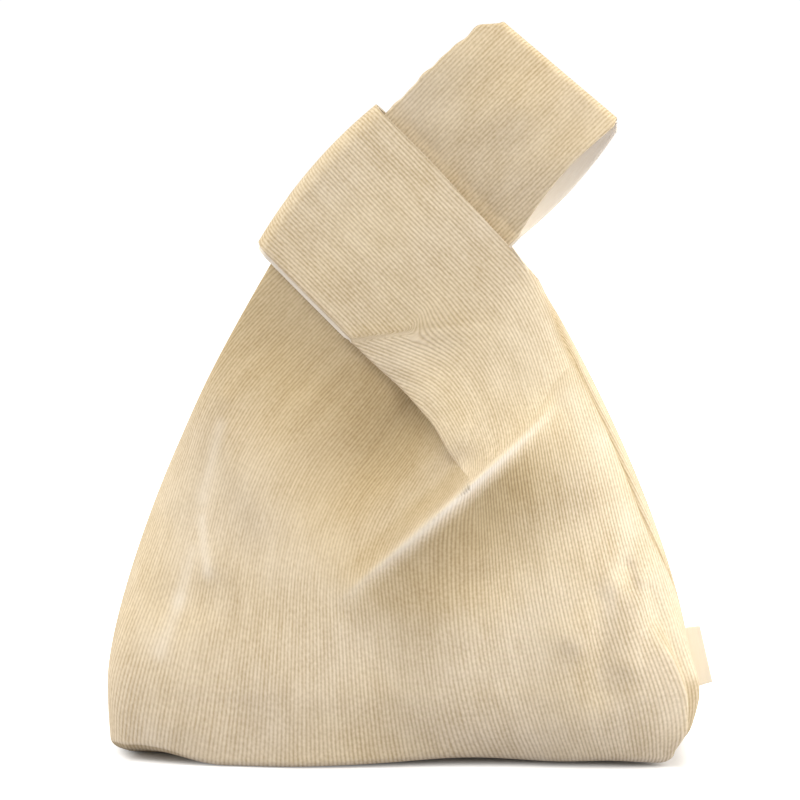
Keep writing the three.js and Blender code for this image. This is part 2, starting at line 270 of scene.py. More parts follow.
# The crease between the front and the right gusset: a ridge, a groove behind it and a soft bulge, each with its
#  distance out from the seam and its width. Painted shade darkens the groove and the cloth below it.
gusset = {
    "down": (84, 58), "right": (116, 136),
    "ridge": 7, "ridgeAt": 37, "ridgeEdge": 0.7, "ridgeWidth": 4.5,
    "groove": 5, "grooveAt": 28, "grooveWidth": 4,
    "bulge": 4, "bulgeAt": 21, "bulgeWidth": 8, "bulgeHeight": 36, "bulgeTall": 18,
    "shadeAt": 32, "shadeWidth": 3, "lowShade": 0.6, "lowDown": (48, 40), "lowOut": (10, 24), "lowIn": (36, 33),
}
# Along the floor the right side is drawn in, the front is set back, and the edge stands off the floor: at the
# left corner, in two waves along the front, and under the whole right gusset.
floorEdge = {
    "drawn": 5, "drawnTall": 8, "drawnRight": (108, 146),
    "foot": 6, "footHeight": 4, "footTall": 10, "footOut": (18, 30), "backShare": 0.65, "backOut": (3, 26),
    "setBack": 0.3, "setBackTall": 26, "setBackRight": (-60, 70),
    "gussetLift": 8, "gussetRight": (134, 153), "gussetIn": (34, 14), "leftLift": 3, "left": (138, 152),
    "waves": ((2.4, 42, 34), (2, 112, 22)),  # height, middle, width
    "rightLift": 2.4, "right": (-70, 40), "frontOut": (8, 40),
    "cornerLift": 9, "cornerLeft": (86, 136), "cornerOut": (24, 45), "cornerShade": (92, 120), "liftTall": 25,
}


# Body panel: base rows out from the base seam, a quarter roll up into the wall, then the wall to its top edge.
def bodyGrid(side):
    shares, cornerColumn = columnShares()
    roll, seat = body["baseRoll"], np.array(float(body["baseRoll"]))
    wide, deep = halfWidth(seat) - roll, halfDepth(seat) - roll
    turn = np.linspace(0, math.pi / 2, body["rollRows"] + 1)[:, None]
    out = np.linspace(0, 1, body["baseRows"] + 1)[:-1, None]
    curve = rounding(shares, squareness(seat))[None]
    baseRelief = clothRelief(shares * halfWidth(seat), seat, side)[None] * ramp(curve, *body["seamFade"])
    baseX = np.broadcast_to(wide * shares[None], (len(out), len(shares)))
    baseY = out * (deep * curve + baseRelief)
    rollX = (wide + roll * np.sin(turn)) * shares[None]
    rollY = (deep + roll * np.sin(turn)) * curve + baseRelief
    rollZ = np.broadcast_to(roll - roll * np.cos(turn), rollX.shape)
    rise = 1 - (1 - np.linspace(0, 1, body["wallRows"] + 1)[1:, None]) ** body["wallCrowding"]
    wallZ = mix(roll, columnTop(shares)[None], rise)
    wallX = shares[None] * halfWidth(wallZ)
    x = np.concatenate((baseX, rollX, wallX))
    y = np.concatenate((baseY, rollY, bodyDepth(wallX, wallZ, side)))
    z = np.concatenate((np.zeros(baseX.shape), rollZ, wallZ))
    g, f = gusset, floorEdge
    creaseShade = np.zeros(x.shape)
    dent = -np.sign(x) * body["seamGroove"] * bell(y, body["seamReach"]) * ramp(z, *body["seamStart"])
    if side < 0:
        share = ramp(z, *g["down"]) * ramp(x, *g["right"])
        ridge = g["ridge"] * np.exp(-np.hypot(y - g["ridgeAt"], g["ridgeEdge"]) / g["ridgeWidth"])
        dent = dent + share * (ridge - g["groove"] * bell(y, g["grooveWidth"], g["grooveAt"]))
        bulge = ((y - g["bulgeAt"]) / g["bulgeWidth"]) ** 2 + ((z - g["bulgeHeight"]) / g["bulgeTall"]) ** 2
        dent = dent + share * g["bulge"] * np.exp(-bulge)
        # Painted shade in the gusset's groove and below it.
        low = g["lowShade"] * ramp(z, *g["lowDown"]) * ramp(y, *g["lowOut"]) * ramp(y, *g["lowIn"])
        creaseShade = share * np.maximum(bell(y, g["shadeWidth"], g["shadeAt"]), low)
        # Painted shade on the base's underside at the left corner.
        creaseShade = creaseShade + ramp(-x, *f["cornerShade"]) * (z < roll * 0.5)
        y = y * (1 - f["setBack"] * ramp(x, *f["setBackRight"]) * np.exp(-z / f["setBackTall"]))
    foot = f["foot"] * bell(z, f["footTall"], f["footHeight"])
    drawn = mix(f["drawn"] * bell(z, f["drawnTall"]), foot, ramp(y, *f["footOut"]) if side < 0 else 0)
    held = mix(1, 1 if side < 0 else f["backShare"], ramp(y, *f["backOut"]))
    dent = dent - held * drawn * ramp(x, *f["drawnRight"])
    stand = f["gussetLift"] * ramp(x, *f["gussetRight"]) * ramp(y, *f["gussetIn"])
    stand = stand + f["leftLift"] * ramp(-x, *f["left"])
    if side < 0:
        waves = sum(height * bell(x, width, middle) for height, middle, width in f["waves"])
        waves = waves + f["rightLift"] * ramp(x, *f["right"])
        near, far = f["cornerOut"]
        corner = f["cornerLift"] * ramp(-x, *f["cornerLeft"]) * np.clip((y - near) / (far - near), 0, 1)
        stand = stand + ramp(y, *f["frontOut"]) * waves + corner
    lift = stand * np.exp(-z / f["liftTall"])
    x, y = carryRound(x, y, z, side)
    return np.stack([x + dent, y, z + lift], -1), cornerColumn, toKnot(wallX[-1], wallZ[-1])[0], creaseShade


shortHandle = {
    "low": -47, "lowEnd": (88, 112), "sag": 1.4, "sagStart": (29, 31.5), "sagEnd": (72, 42),
    "high": 47.5, "highFall": 0.035, "highFrom": -46, "highDrop": 1.2, "highDropAt": (50, 66),
    "fold": 9, "end": -43, "slant": 3.2, "endBow": 4.4, "endHalf": 48, "endReach": 30,
    "depth": 8.85, "riseStart": 56, "close": (52, 83), "bulge": 1.2, "bulgeAt": 1, "bulgeHalf": 47,
    "bandRelief": 0.5, "reliefStart": (-34, 0),
    "fullness": 1.5, "fullAt": 10, "fullWidth": 10, "fullStart": (22, 60), "fullEnd": (122, 92),
    "edgeRoll": 1.4, "edgeRollStart": (24, 50), "edgeRollEnd": 98, "edgeLeast": 0.02,
    "seamStart": (78, 90), "forwardStart": (72, 112),
    "thickness": 1.5, "columns": 150, "turnColumns": 14,
}


# Upper edge of the short handle: straight along the band, then down the right side seam.
def seamAlong(across):
    height = searchHeight(across.shape, body["neckHeight"], lambda z: toKnot(halfWidth(z), z)[1] > across)
    return toKnot(halfWidth(height), height)[0]


# How far the short handle's left end leans and bows out.
def endLean(along):
    p = shortHandle
    return p["slant"] * along / p["high"] + p["endBow"] * (1 - (along / p["endHalf"]) ** 2)


# Short handle: a quarter turn round the long one, the flat band, and the climb to the crease on the body.
# Its rolled lower edge falls back as a quarter circle where it hangs clear of the shoulder.
def shortGrid(side, sides, lowLip=0.0):
    p = shortHandle
    turn = np.concatenate([np.linspace(0, math.pi / 2, p["turnColumns"], endpoint=False),
                           np.full(p["columns"] + 1, math.pi / 2)])[None]
    flat = np.concatenate([np.zeros(p["turnColumns"]), np.linspace(0, 1, p["columns"] + 1)])[None]
    start = p["end"] + p["fold"]
    across = mix(start, knot["crease"], flat) - p["fold"] * np.cos(turn)
    high = p["high"] - p["highFall"] * (across - p["highFrom"])
    high = high - p["highDrop"] * ramp(across, *p["highDropAt"])
    top = np.minimum(high, seamAlong(across))
    bottom = mix(p["low"], knot["pucker"], ramp(across, *p["lowEnd"]))
    bottom = bottom - p["sag"] * ramp(across, *p["sagStart"]) * ramp(across, *p["sagEnd"])
    bottom = bottom - lowLip * ramp(across, *lining["lipEnd"])
    along = mix(bottom, top, sides[:, None])
    slanted = across - endLean(along) * (1 - ramp(across, p["end"], p["endReach"]))
    x, z = fromKnot(along, slanted)
    climb = ramp(across, p["riseStart"], knot["crease"])
    crown = rounding(x / halfWidth(z), squareness(z))
    bulge = p["bulge"] * np.cos((along - p["bulgeAt"]) / p["bulgeHalf"] * math.pi / 2) * (1 - climb)
    relief = clothRelief(x, z, side) * ramp(crown, *body["seamFade"])
    deep = mix(p["depth"], halfDepth(z), climb) + bulge
    deep = deep * mix(1, crown, ramp(across, *p["close"])) * np.sin(turn)
    deep = deep + relief * mix(p["bandRelief"], 1, climb) * ramp(across, *p["reliefStart"])
    fullness = p["fullness"] * bell(along - bottom, p["fullWidth"], p["fullAt"])
    deep = deep + fullness * ramp(across, *p["fullStart"]) * ramp(across, *p["fullEnd"])
    roll = p["edgeRoll"] * ramp(across, *p["edgeRollStart"]) * ramp(across, knot["crease"], p["edgeRollEnd"])
    roll = roll + p["edgeLeast"]
    edge = 1 - np.clip((along - bottom) / roll, 0, 1)
    deep = deep - roll * (1 - np.sqrt(1 - edge * edge))
    deep = np.maximum(deep, 0)
    dent = body["seamGroove"] * bell(deep, body["seamReach"]) * ramp(across, *p["seamStart"])
    x, y = carryRound(x, deep, z, side, ramp(across, *p["forwardStart"]))
    return np.stack([x - dent, y, z], -1)


longHandle = {
    "left": -41, "right": 52, "topLeft": -36, "topRight": 47, "narrowFrom": 48,
    "tongueLeft": -8, "tongueEnd": (-25, 10), "bottom": -50, "top": 124.6, "topSlant": 6.7,
    "topRound": 6.2, "topRoundAt": (0.85, 1), "rightRound": 2.2, "rightRoundAt": (0.94, 1),
    "waist": 2, "waistStart": (20, 46), "waistEnd": (0.5, 0), "handSewn": (44, 56),
    "half": 2.55, "open": 7.5, "openStart": 51, "openLeft": 0.75, "openRight": 1.1, "tip": 3.5, "gap": 0.05,
    "frontLens": 4.4, "backLens": -3.4, "lensStart": 50, "lensPower": 0.9,
    "thickness": 1.5, "columns": 60, "rows": 150, "rowCrowding": 0.97,
}


# Long handle: flat plies up through the short one, which part in a bow and meet again at the top fold.
# The front ply's right edge is drawn in as a lens, so that the inside of the loop shows.
def longGrid(side, widen=0.0):
    p = longHandle
    across = np.linspace(0, 1, p["columns"] + 1)[None]
    rise = np.linspace(0, 1, p["rows"] + 1)[:, None]
    top = p["top"] + p["topSlant"] * (across - 0.5)
    along = mix(p["bottom"], top, rise ** p["rowCrowding"])
    up = np.clip((along - p["narrowFrom"]) / (top - p["narrowFrom"]), 0, 1)
    left = mix(mix(p["tongueLeft"], p["left"], ramp(along, *p["tongueEnd"])), p["topLeft"], up)
    left = left + p["topRound"] * ramp(up, *p["topRoundAt"])
    left = left + p["waist"] * ramp(along, *p["waistStart"]) * ramp(up, *p["waistEnd"])
    wobble = 0.3 * np.sin(along / 3.1) + 0.25 * np.sin(along / 1.8 + 1)  # of the hand-sewn edge
    left = left + wobble * ramp(along, *p["handSewn"])
    right = mix(p["right"], p["topRight"], up) - p["rightRound"] * ramp(up, *p["rightRoundAt"])
    lensShare = np.clip((along - p["lensStart"]) / (top - p["lensStart"]), 0, 1)
    lens = np.sin(lensShare * math.pi) ** p["lensPower"]
    right = right - (p["frontLens"] if side < 0 else p["backLens"]) * lens
    spot = mix(left - widen * 0.2, right + widen, across)
    bow = np.sin(np.clip((along - p["openStart"]) / (top - p["openStart"]), 0, 1) * math.pi)
    slack = 0.3 * np.sin(spot / 9 + along / 15) + 0.5 * np.sin(spot / 6 - along / 14 + 1.2)
    deep = p["half"] + p["open"] * bow * mix(p["openLeft"], p["openRight"], across) + slack * bow
    deep = deep * np.sqrt(1 - np.clip((along - top + p["tip"]) / p["tip"], 0, 1) ** 2)
    x, z = fromKnot(along, spot)
    return np.stack([x, side * (deep + p["gap"]), z], -1)


def lengthOf(vectors):
    return np.linalg.norm(vectors, axis=-1, keepdims=True)


def oneLong(vectors):
    return vectors / np.maximum(lengthOf(vectors), 1e-9)


def faceNormals(grid):
    return oneLong(np.cross(np.gradient(grid, axis=1), np.gradient(grid, axis=0)))


# Outward directions of a grid: its normals, turned straight to the front or back beside the sharp pleat, where
# inner layers set in along the normals would cross.
def outwardWay(grid, side):
    _, away, swell = pleatPlace(grid[..., 0], grid[..., 2], pleats[side])
    near = ramp(np.abs(away), 45, 25) * ramp(swell, 0, 0.3)
    normal = faceNormals(grid)
    lost = lengthOf(normal) < 0.5  # the base's corners, where rows meet in one point
    lost = lost | ((normal[..., 2:] > 0.5) & (grid[..., 2:] < 12))
    corner = np.sign(grid[..., :1]) * np.array((1, 0, 0)) + np.array((0, 0, -1))
    return oneLong(mix(np.where(lost, corner, normal), np.array((0, side, 0)), near[..., None]))


# The field whose steps along the grid best match the wished ones: a Poisson equation, solved by mirroring.
def settle(rowSteps, columnSteps):
    rows, columns = columnSteps.shape[0], rowSteps.shape[1]
    excess = np.zeros((rows, columns))
    excess[:-1] -= rowSteps
    excess[1:] += rowSteps
    excess[:, :-1] -= columnSteps
    excess[:, 1:] += columnSteps
    mirrored = np.concatenate([excess, excess[::-1]])
    mirrored = np.concatenate([mirrored, mirrored[:, ::-1]], 1)
    rowWave = 2 - 2 * np.cos(math.pi * np.arange(2 * rows) / rows)
    columnWave = 2 - 2 * np.cos(math.pi * np.arange(2 * columns) / columns)
    wave = rowWave[:, None] + columnWave[None]
    wave[0, 0] = 1
    return np.real(np.fft.ifft2(np.fft.fft2(mirrored) / wave))[:rows, :columns]


# Wale coordinates in mm: across and along the wales, where each point wishes for its own wale direction.
def waleMap(grid, lean, under=0.0):
    normal = faceNormals(grid)
    wish = np.stack([np.sin(lean), np.broadcast_to(under, lean.shape), np.cos(lean)], -1)
    wish = oneLong(wish - normal * np.sum(wish * normal, -1, keepdims=True))
    maps = []
    for way in (np.cross(wish, normal), wish):
        rowSteps = np.sum((way[1:] + way[:-1]) / 2 * np.diff(grid, axis=0), -1)
        columnSteps = np.sum((way[:, 1:] + way[:, :-1]) / 2 * np.diff(grid, axis=1), -1)
        maps.append(settle(rowSteps, columnSteps))
    return np.stack(maps, -1)


# Lean of the wales in degrees: the body's fan out from the middle, less so on the upper right, and follow the
# left shoulder over towards the knot. The short handle's turn along its band.
waleLean = {
    "middle": -10, "fan": 0.18, "bend": 0.00065, "ease": 0.45, "easeUp": (40, 110), "easeRight": (-40, 60),
    "shoulder": 51, "pullAlong": (-172, -72), "pullAcross": (135, 82),
    "crease": -4, "creaseFan": 0.08, "band": -45, "bandStart": 4, "bandFull": 58,
}


def shoulderPull(x, z):
    along, across = toKnot(x, z)
    return ramp(along, *waleLean["pullAlong"]) * ramp(across, *waleLean["pullAcross"])


def bodyLean(x, z):
    w = waleLean
    fan = w["middle"] - w["fan"] * x + w["bend"] * x * x
    fan = fan * (1 - w["ease"] * ramp(z, *w["easeUp"]) * ramp(x, *w["easeRight"]))
    return np.radians(mix(fan, w["shoulder"], shoulderPull(x, z)))


def shortLean(x, z):
    w = waleLean
    band = ramp(toKnot(x, z)[1], knot["crease"] + w["bandStart"], w["bandFull"])
    return np.radians(mix(w["crease"] - w["creaseFan"] * x, w["band"], band))


# The fold that runs right from the flap's upper corner is a tuck. Below it the wales fan out, as if turned,
# because the map is drawn up by a softened ramp that starts at nothing on the right.
tuck = {
    "x": -26, "z": 217, "rise": 0.14, "start": 33, "right": -0.82, "up": 0.57, "turn": 0.44, "soft": 8,
    "fade": (1.2, 16), "fadeRight": (2, 19),  # half the width over which the map changes
}


def tuckAbove(x, z):
    return z - tuck["z"] - tuck["rise"] * (x - tuck["x"])


def tuckShift(x, z):
    reach = tuck["right"] * (x - tuck["start"]) + tuck["up"] * (z - tuck["z"])
    fade = mix(*tuck["fade"], ramp(x, *tuck["fadeRight"]))
    return tuck["turn"] * (np.hypot(reach, tuck["soft"]) + reach) / 2 * ramp(tuckAbove(x, z), fade, -fade)


# Painted shade, given as pile lying over: beside the pleat, on the pulled shoulder, in the right seam's hollow
# and the
#  gusset's, along the tuck, and a little on the short handle's band. The pleat's crest gets a painted
#  highlight.
shadePainting = {
    "groove": 0.5, "grooveFar": (-14, -8), "grooveNear": (0.2, -1.5),
    "shadeNear": (3, 9), "shadeFar": (66, 14), "shadeEnd": (0.98, 0.7), "crestAt": 0.8, "crestWidth": 2.2,
    "pull": (0.82, 1), "pullAcross": (10, 80), "creaseShade": 0.9,
    "seam": 0.8, "seamWidth": 2.2, "seamUp": (60, 90), "stripSeam": 0.7, "stripSeamStart": (76, 100),
    "tuck": 0.5, "tuckEdge": (0, 1.5), "tuckReach": 9, "tuckStart": (-30, -18), "tuckEnd": (62, 10),
    "band": 0.15, "bandAcross": (110, 40), "flapBelow": (0, -6), "flapLeft": (40, -10),
}
# Places on the front made pale, partly rubbed pile and partly painted highlight, in the folds' form, with a
# share for the height.
paleStreaks = [
    (-91, 174, -100, 136, 0.3, 3, 4),
    (-100, 126, -96, 100, 0.45, 2.5, 3.5),
    (-104, 110, -112, 84, 0.3, 4, 4),
    (-110, 85, -120, 59, 0.35, 4, 5),
    (88, 190, 104, 168, 0.18, 6, 7),
    (104, 168, 120, 122, 0.22, 7, 6),
    (118, 112, 108, 92, 0.18, 4, 5),
]
# Places on the front given painted shade, in the same form.
shades = [
    (10, 62, 4, 24, 0.3, 22, 28),
    (86, 62, 92, 34, 0.12, 18, 22),
]


# Painted shade in the groove above the pleat and below its crest, and a painted highlight along the crest.
def pleatPaintedLight(x, z, pleat):
    share, away, swell = pleatPlace(x, z, pleat)
    groove = ramp(away, *shadePainting["grooveFar"]) * ramp(away, *shadePainting["grooveNear"]) * beforePeak(share, pleat)
    shade = ramp(away, *shadePainting["shadeNear"]) * ramp(away, *shadePainting["shadeFar"]) * ramp(share, *shadePainting["shadeEnd"])
    crest = bell(away, shadePainting["crestWidth"], shadePainting["crestAt"])
    return np.sqrt(swell) * (shadePainting["groove"] * groove + shade), swell * crest


# The panel's painted shade: pleat, shaded patches, pulled shoulder, right seam and gusset crease; and its pale
# marks.
def panelPaintedLight(grid, side, creaseShade):
    x, y, z = grid[..., 0], grid[..., 1], grid[..., 2]
    shadeShare, paleAndHighlight = pleatPaintedLight(x, z, pleats[side])
    # Pale streaks, partly rubbed pile and partly painted highlight, join the crest's painted highlight.
    if side < 0:
        paleAndHighlight = np.clip(paleAndHighlight + foldHeight(x, z, paleStreaks), 0, 1)
        shadeShare = shadeShare + foldHeight(x, z, shades)
    pull = shoulderPull(x, z) * mix(*shadePainting["pull"], ramp(toKnot(x, z)[1], *shadePainting["pullAcross"]))
    away = np.hypot(x - grid[:, -1:, 0], y - grid[:, -1:, 1])
    seam = shadePainting["seam"] * bell(away, shadePainting["seamWidth"]) * ramp(z, *shadePainting["seamUp"])
    return np.clip(pull + shadeShare + seam + shadePainting["creaseShade"] * creaseShade, 0, 1), paleAndHighlight


# Painted shade on the short handle: along the tuck, beside the seam and a little on the band.
def stripPaintedShade(grid):
    x, z = grid[..., 0], grid[..., 2]
    along, across = toKnot(x, z)
    above = tuckAbove(x, z)
    fold = ramp(above, *shadePainting["tuckEdge"]) * np.exp(-np.clip(above, 0, None) / shadePainting["tuckReach"])
    fold = fold * ramp(x, *shadePainting["tuckStart"]) * ramp(x, *shadePainting["tuckEnd"])
    seam = bell(along - toKnot(grid[-1:, :, 0], grid[-1:, :, 2])[0], shadePainting["seamWidth"])
    flap = ramp(above, *shadePainting["flapBelow"]) * ramp(x, *shadePainting["flapLeft"])
    band = shadePainting["band"] * ramp(across, *shadePainting["bandAcross"]) * (1 - flap)
    seam = shadePainting["stripSeam"] * seam * ramp(across, *shadePainting["stripSeamStart"])
    return np.clip(band + shadePainting["tuck"] * fold + seam, 0, 1)


def linkPiece(name, data):
    piece = bpy.data.objects.new(name, data)
    bpy.context.scene.collection.objects.link(piece)
    return piece


# A sheet's mesh from its grid. With a thickness it gets an inner face and an edge on the named sides: l first
# column, r last column, b first row, t last row. A small letter makes a half-round rim, a capital a plain cut.
def makeCloth(name, grid, wales, material, thickness=0.0, rims="", paintedShade=None, wearAndHighlight=None, outward=None):
    rows, columns = grid.shape[:2]
    index = np.arange(rows * columns).reshape(rows, columns)

    def quads(*corners):
        return np.stack(corners, -1).reshape(-1, 4)

    def joined(a, b, way):
        if way > 0:
            return quads(a[:-1], a[1:], b[1:], b[:-1])
        return quads(a[:-1], b[:-1], b[1:], a[1:])

    points, coords, cuts = [grid.reshape(-1, 3)], [wales.reshape(-1, 2)], []
    paintedShades = [np.broadcast_to(0.0 if paintedShade is None else paintedShade, (rows, columns)).ravel()]
    faces = [quads(index[:-1, :-1], index[:-1, 1:], index[1:, 1:], index[1:, :-1])]
    if thickness:
        inner = grid - (faceNormals(grid) if outward is None else outward) * thickness
        under = index + index.size
        points.append(inner.reshape(-1, 3))
        coords.append(wales.reshape(-1, 2))
        paintedShades.append(paintedShades[0])
        faces.append(quads(under[:-1, :-1], under[1:, :-1], under[1:, 1:], under[:-1, 1:]))
        count = 2 * index.size
        edges = {"l": (np.s_[:, 0], np.s_[:, 1], 1), "r": (np.s_[:, -1], np.s_[:, -2], -1),
                 "b": (np.s_[0], np.s_[1], -1), "t": (np.s_[-1], np.s_[-2], 1)}
        for rim in rims:
            at, beside, way = edges[rim.lower()]
            if rim.isupper():
                cuts.append(sum(len(f) for f in faces) + np.arange(len(index[at]) - 1))
                faces.append(joined(index[at], under[at], way))
                continue
            middle = (grid[at] + inner[at]) / 2 + oneLong(grid[at] - grid[beside]) * thickness * 0.5
            points.append(middle)
            step = np.maximum(lengthOf(grid[at] - grid[beside]), 0.05)
            coords.append(wales[at] + (wales[at] - wales[beside]) / step * thickness * 0.7)
            paintedShades.append(paintedShades[0].reshape(rows, columns)[at])
            ring = np.arange(len(middle)) + count
            count += len(middle)
            faces.append(joined(index[at], ring, way))
            faces.append(joined(ring, under[at], way))
    place = np.concatenate(points) * 0.001
    place[:, 0] += body["shift"] * 0.001
    mesh = bpy.data.meshes.new(name)
    mesh.from_pydata(place.tolist(), [], np.concatenate(faces).tolist())
    corner = np.zeros(len(mesh.loops), int)
    mesh.loops.foreach_get("vertex_index", corner)
    uvMap = mesh.uv_layers.new(name="wales")
    uvMap.data.foreach_set("uv", np.concatenate(coords)[corner].ravel())
    # Painted shade and painted highlight go into point attributes for the cloth's material.
    if paintedShade is not None:
        mesh.attributes.new("paintedShade", "FLOAT", "POINT").data.foreach_set("value", np.concatenate(paintedShades))
    if wearAndHighlight is not None:
        mesh.attributes.new("wearAndHighlight", "FLOAT", "POINT").data.foreach_set("value", wearAndHighlight.ravel())
    edit = bmesh.new()
    edit.from_mesh(mesh)
    edit.faces.ensure_lookup_table()
    for spot in np.concatenate(cuts) if cuts else ():
        for edge in edit.faces[spot].edges:
            edge.smooth = False
    bmesh.ops.remove_doubles(edit, verts=edit.verts, dist=1e-7)
    edit.to_mesh(mesh)
    edit.free()
    mesh.polygons.foreach_set("use_smooth", np.ones(len(mesh.polygons), bool))
    mesh.materials.append(material)
    return linkPiece(name, mesh)


# Shader values: operators and math() add Math nodes, and node() adds any other kind.
class Wire:
    def __init__(self, tree, socket):
        self.tree, self.socket = tree, socket

    def math(self, operation, *others):
        return node(self.tree, "ShaderNodeMath", {"operation": operation}, self, *others)

    def __add__(self, other):
        return self.math("ADD", other)

    def __mul__(self, other):
        return self.math("MULTIPLY", other)

    def __sub__(self, other):
        return self.math("SUBTRACT", other)

    def __rsub__(self, other):
        return self * -1 + other

    def __pow__(self, other):
        return self.math("POWER", other)

    __radd__, __rmul__ = __add__, __mul__


# Inputs are given in order, by number in at, or by name.
def node(tree, kind, settings, *values, out=0, at=None, **named):
    made = tree.nodes.new(kind)
    for key, value in settings.items():
        setattr(made, key, value)
    inputs = {**dict(enumerate(values)), **(at or {}), **{key.replace("_", " "): named[key] for key in named}}
    for key, value in inputs.items():
        if isinstance(value, Wire):
            tree.links.new(value.socket, made.inputs[key])
        else:
            made.inputs[key].default_value = value
    return Wire(tree, made.outputs[out])


def linear(red, green, blue):
    shares = (red / 255, green / 255, blue / 255)
    return (*(((c + 0.055) / 1.055) ** 2.4 if c > 0.04 else c / 12.92 for c in shares), 1)


def mixColour(tree, share, first, second, **settings):
    colours = {6: first, 7: second}
    return node(tree, "ShaderNodeMix", {"data_type": "RGBA", **settings}, share, out=2, at=colours)


def newMaterial(name, roughness, sheen, tint):
    made = bpy.data.materials.new(name)
    made.use_nodes = True
    surface = made.node_tree.nodes["Principled BSDF"]
    finish = {"Roughness": roughness, "Specular IOR Level": 0.2,
              "Sheen Weight": sheen, "Sheen Roughness": 0.45, "Sheen Tint": tint}
    for key, value in finish.items():
        surface.inputs[key].default_value = value
    return made, made.node_tree, surface


def uvCoords(tree):
    coords = node(tree, "ShaderNodeUVMap", {"uv_map": "wales"})
    return (node(tree, "ShaderNodeSeparateXYZ", {}, coords, out=which) for which in (0, 1))


def noise(tree, across, along, acrossScale, alongScale, detail):
    spot = node(tree, "ShaderNodeCombineXYZ", {}, across * acrossScale, along * alongScale)
    return node(tree, "ShaderNodeTexNoise", {}, Vector=spot, Scale=1.0, Detail=detail)


def addBump(tree, surface, look, height):
    bump = node(tree, "ShaderNodeBump", {}, Strength=look["bump"], Distance=look["height"], Height=height)
    tree.links.new(bump.socket, surface.inputs["Normal"])


# Each noise has its scale across the wales, its scale along them and its detail.
corduroy = {
    "pitch": 1.78, "wobble": 0.16, "bump": 0.38, "height": 0.0004, "crown": 0.7,
    "ridge": (233, 217, 187), "valley": (192, 171, 134), "worn": (241, 229, 203), "paleAndHighlight": (250, 240, 221),
    "deep": (0.695, 0.64, 0.515),  # the colour's multiplier for painted shade, where the pile is said to lie over
    "warm": (1.04, 1.0, 0.88), "cool": (0.98, 1.0, 1.1),
    "drift": (0.12, 0.05, 2.0), "tuft": (0.7, 0.5, 3.0), "mottle": (0.1, 0.055, 3.0),
    "streak": (0.55, 0.03, 2.0), "patch": (0.02, 0.014, 3.0), "warmth": (0.011, 0.017, 2.0),
    "sheen": 0.12, "sheenTint": (250, 236, 210), "roughness": 0.92,
}


# Corduroy: rounded ribs as a raised cosine of the wale coordinate, tufted along them, paler on the crowns and
# darker in the valleys: partly the cloth's own colour, partly painted shade in the grooves.
def corduroyMaterial():
    c = corduroy
    made, tree, surface = newMaterial("corduroy", c["roughness"], c["sheen"], linear(*c["sheenTint"]))
    across, along = uvCoords(tree)
    names = ("drift", "tuft", "mottle", "streak", "patch", "warmth")
    drift, tuft, mottle, streak, patch, warmth = (noise(tree, across, along, *c[name]) for name in names)
    phase = across * (1 / c["pitch"]) + (drift - 0.5) * c["wobble"] * 2
    rib = ((phase * (2 * math.pi)).math("COSINE") * 0.5 + 0.5) ** c["crown"]
    shade = rib * 0.66 + (tuft - 0.5) * 1.2 + (streak - 0.5) * 0.5 + (mottle - 0.5) * 0.7 + 0.18
    shade = node(tree, "ShaderNodeClamp", {}, shade)
    # The valleys' darker colour is partly painted shade in the grooves.
    colour = mixColour(tree, shade, linear(*c["valley"]), linear(*c["ridge"]))
    worn = node(tree, "ShaderNodeClamp", {}, (patch - 0.42) * 1.6)
    colour = mixColour(tree, worn * 0.5, colour, linear(*c["worn"]))
    tint = mixColour(tree, warmth, (*c["warm"], 1), (*c["cool"], 1))
    colour = node(tree, "ShaderNodeVectorMath", {"operation": "MULTIPLY"}, colour, tint)
    # Painted shade: the colour is multiplied down where the painted-shade attribute is high.
    paintedShade = node(tree, "ShaderNodeAttribute", {"attribute_name": "paintedShade"}, out=2)
    deep = mixColour(tree, 1.0, colour, (*c["deep"], 1), blend_type="MULTIPLY")
    colour = mixColour(tree, paintedShade, colour, deep)
    # Painted highlight on the pleat's crest, and pale streaks that are partly rubbed pile and partly painted
    # highlight.
    paleAndHighlight = node(tree, "ShaderNodeAttribute", {"attribute_name": "wearAndHighlight"}, out=2)
    colour = mixColour(tree, paleAndHighlight * 0.8, colour, linear(*c["paleAndHighlight"]))
    tree.links.new(colour.socket, surface.inputs["Base Color"])
    addBump(tree, surface, c, rib + (tuft - 0.5) * 0.2)
    return made


liningCloth = {"thread": 0.42, "light": (253, 245, 229), "dark": (236, 221, 194), "bump": 0.4, "height": 0.0001}
labelTape = {"thread": 0.3, "light": (255, 247, 228), "dark": (247, 235, 207), "bump": 0.5, "height": 0.00012}
threadLook = {"thread": 0.25, "light": (222, 203, 166), "dark": (190, 168, 128), "bump": 0.4, "height": 0.0001}
weaveFinish = {"roughness": 0.85, "sheenTint": (255, 248, 232), "slub": (1.1, 0.09, 2.0)}


# Plain weave: crossed threads as the product of two sine waves.
def weaveMaterial(name, look, sheen):
    tint = linear(*weaveFinish["sheenTint"])
    made, tree, surface = newMaterial(name, weaveFinish["roughness"], sheen, tint)
    across, along = uvCoords(tree)
    turn = math.pi / look["thread"]
    weave = (across * turn).math("SINE") * (along * turn).math("SINE") * 0.5 + 0.5
    slub = noise(tree, across, along, *weaveFinish["slub"])
    shade = node(tree, "ShaderNodeClamp", {}, weave * 0.45 + slub * 0.6)
    colour = mixColour(tree, shade, linear(*look["dark"]), linear(*look["light"]))
    tree.links.new(colour.socket, surface.inputs["Base Color"])
    addBump(tree, surface, look, weave)
    return made


corduroyCloth = corduroyMaterial()
cottonLining = weaveMaterial("cotton_lining", liningCloth, 0.15)
wovenTape = weaveMaterial("woven_tape", labelTape, 0.2)
spunThread = weaveMaterial("spun_thread", threadLook, 0.1)
print("materials made")


def dress(piece, slotName, flat, area, held, *nodes):
    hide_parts(*nodes)


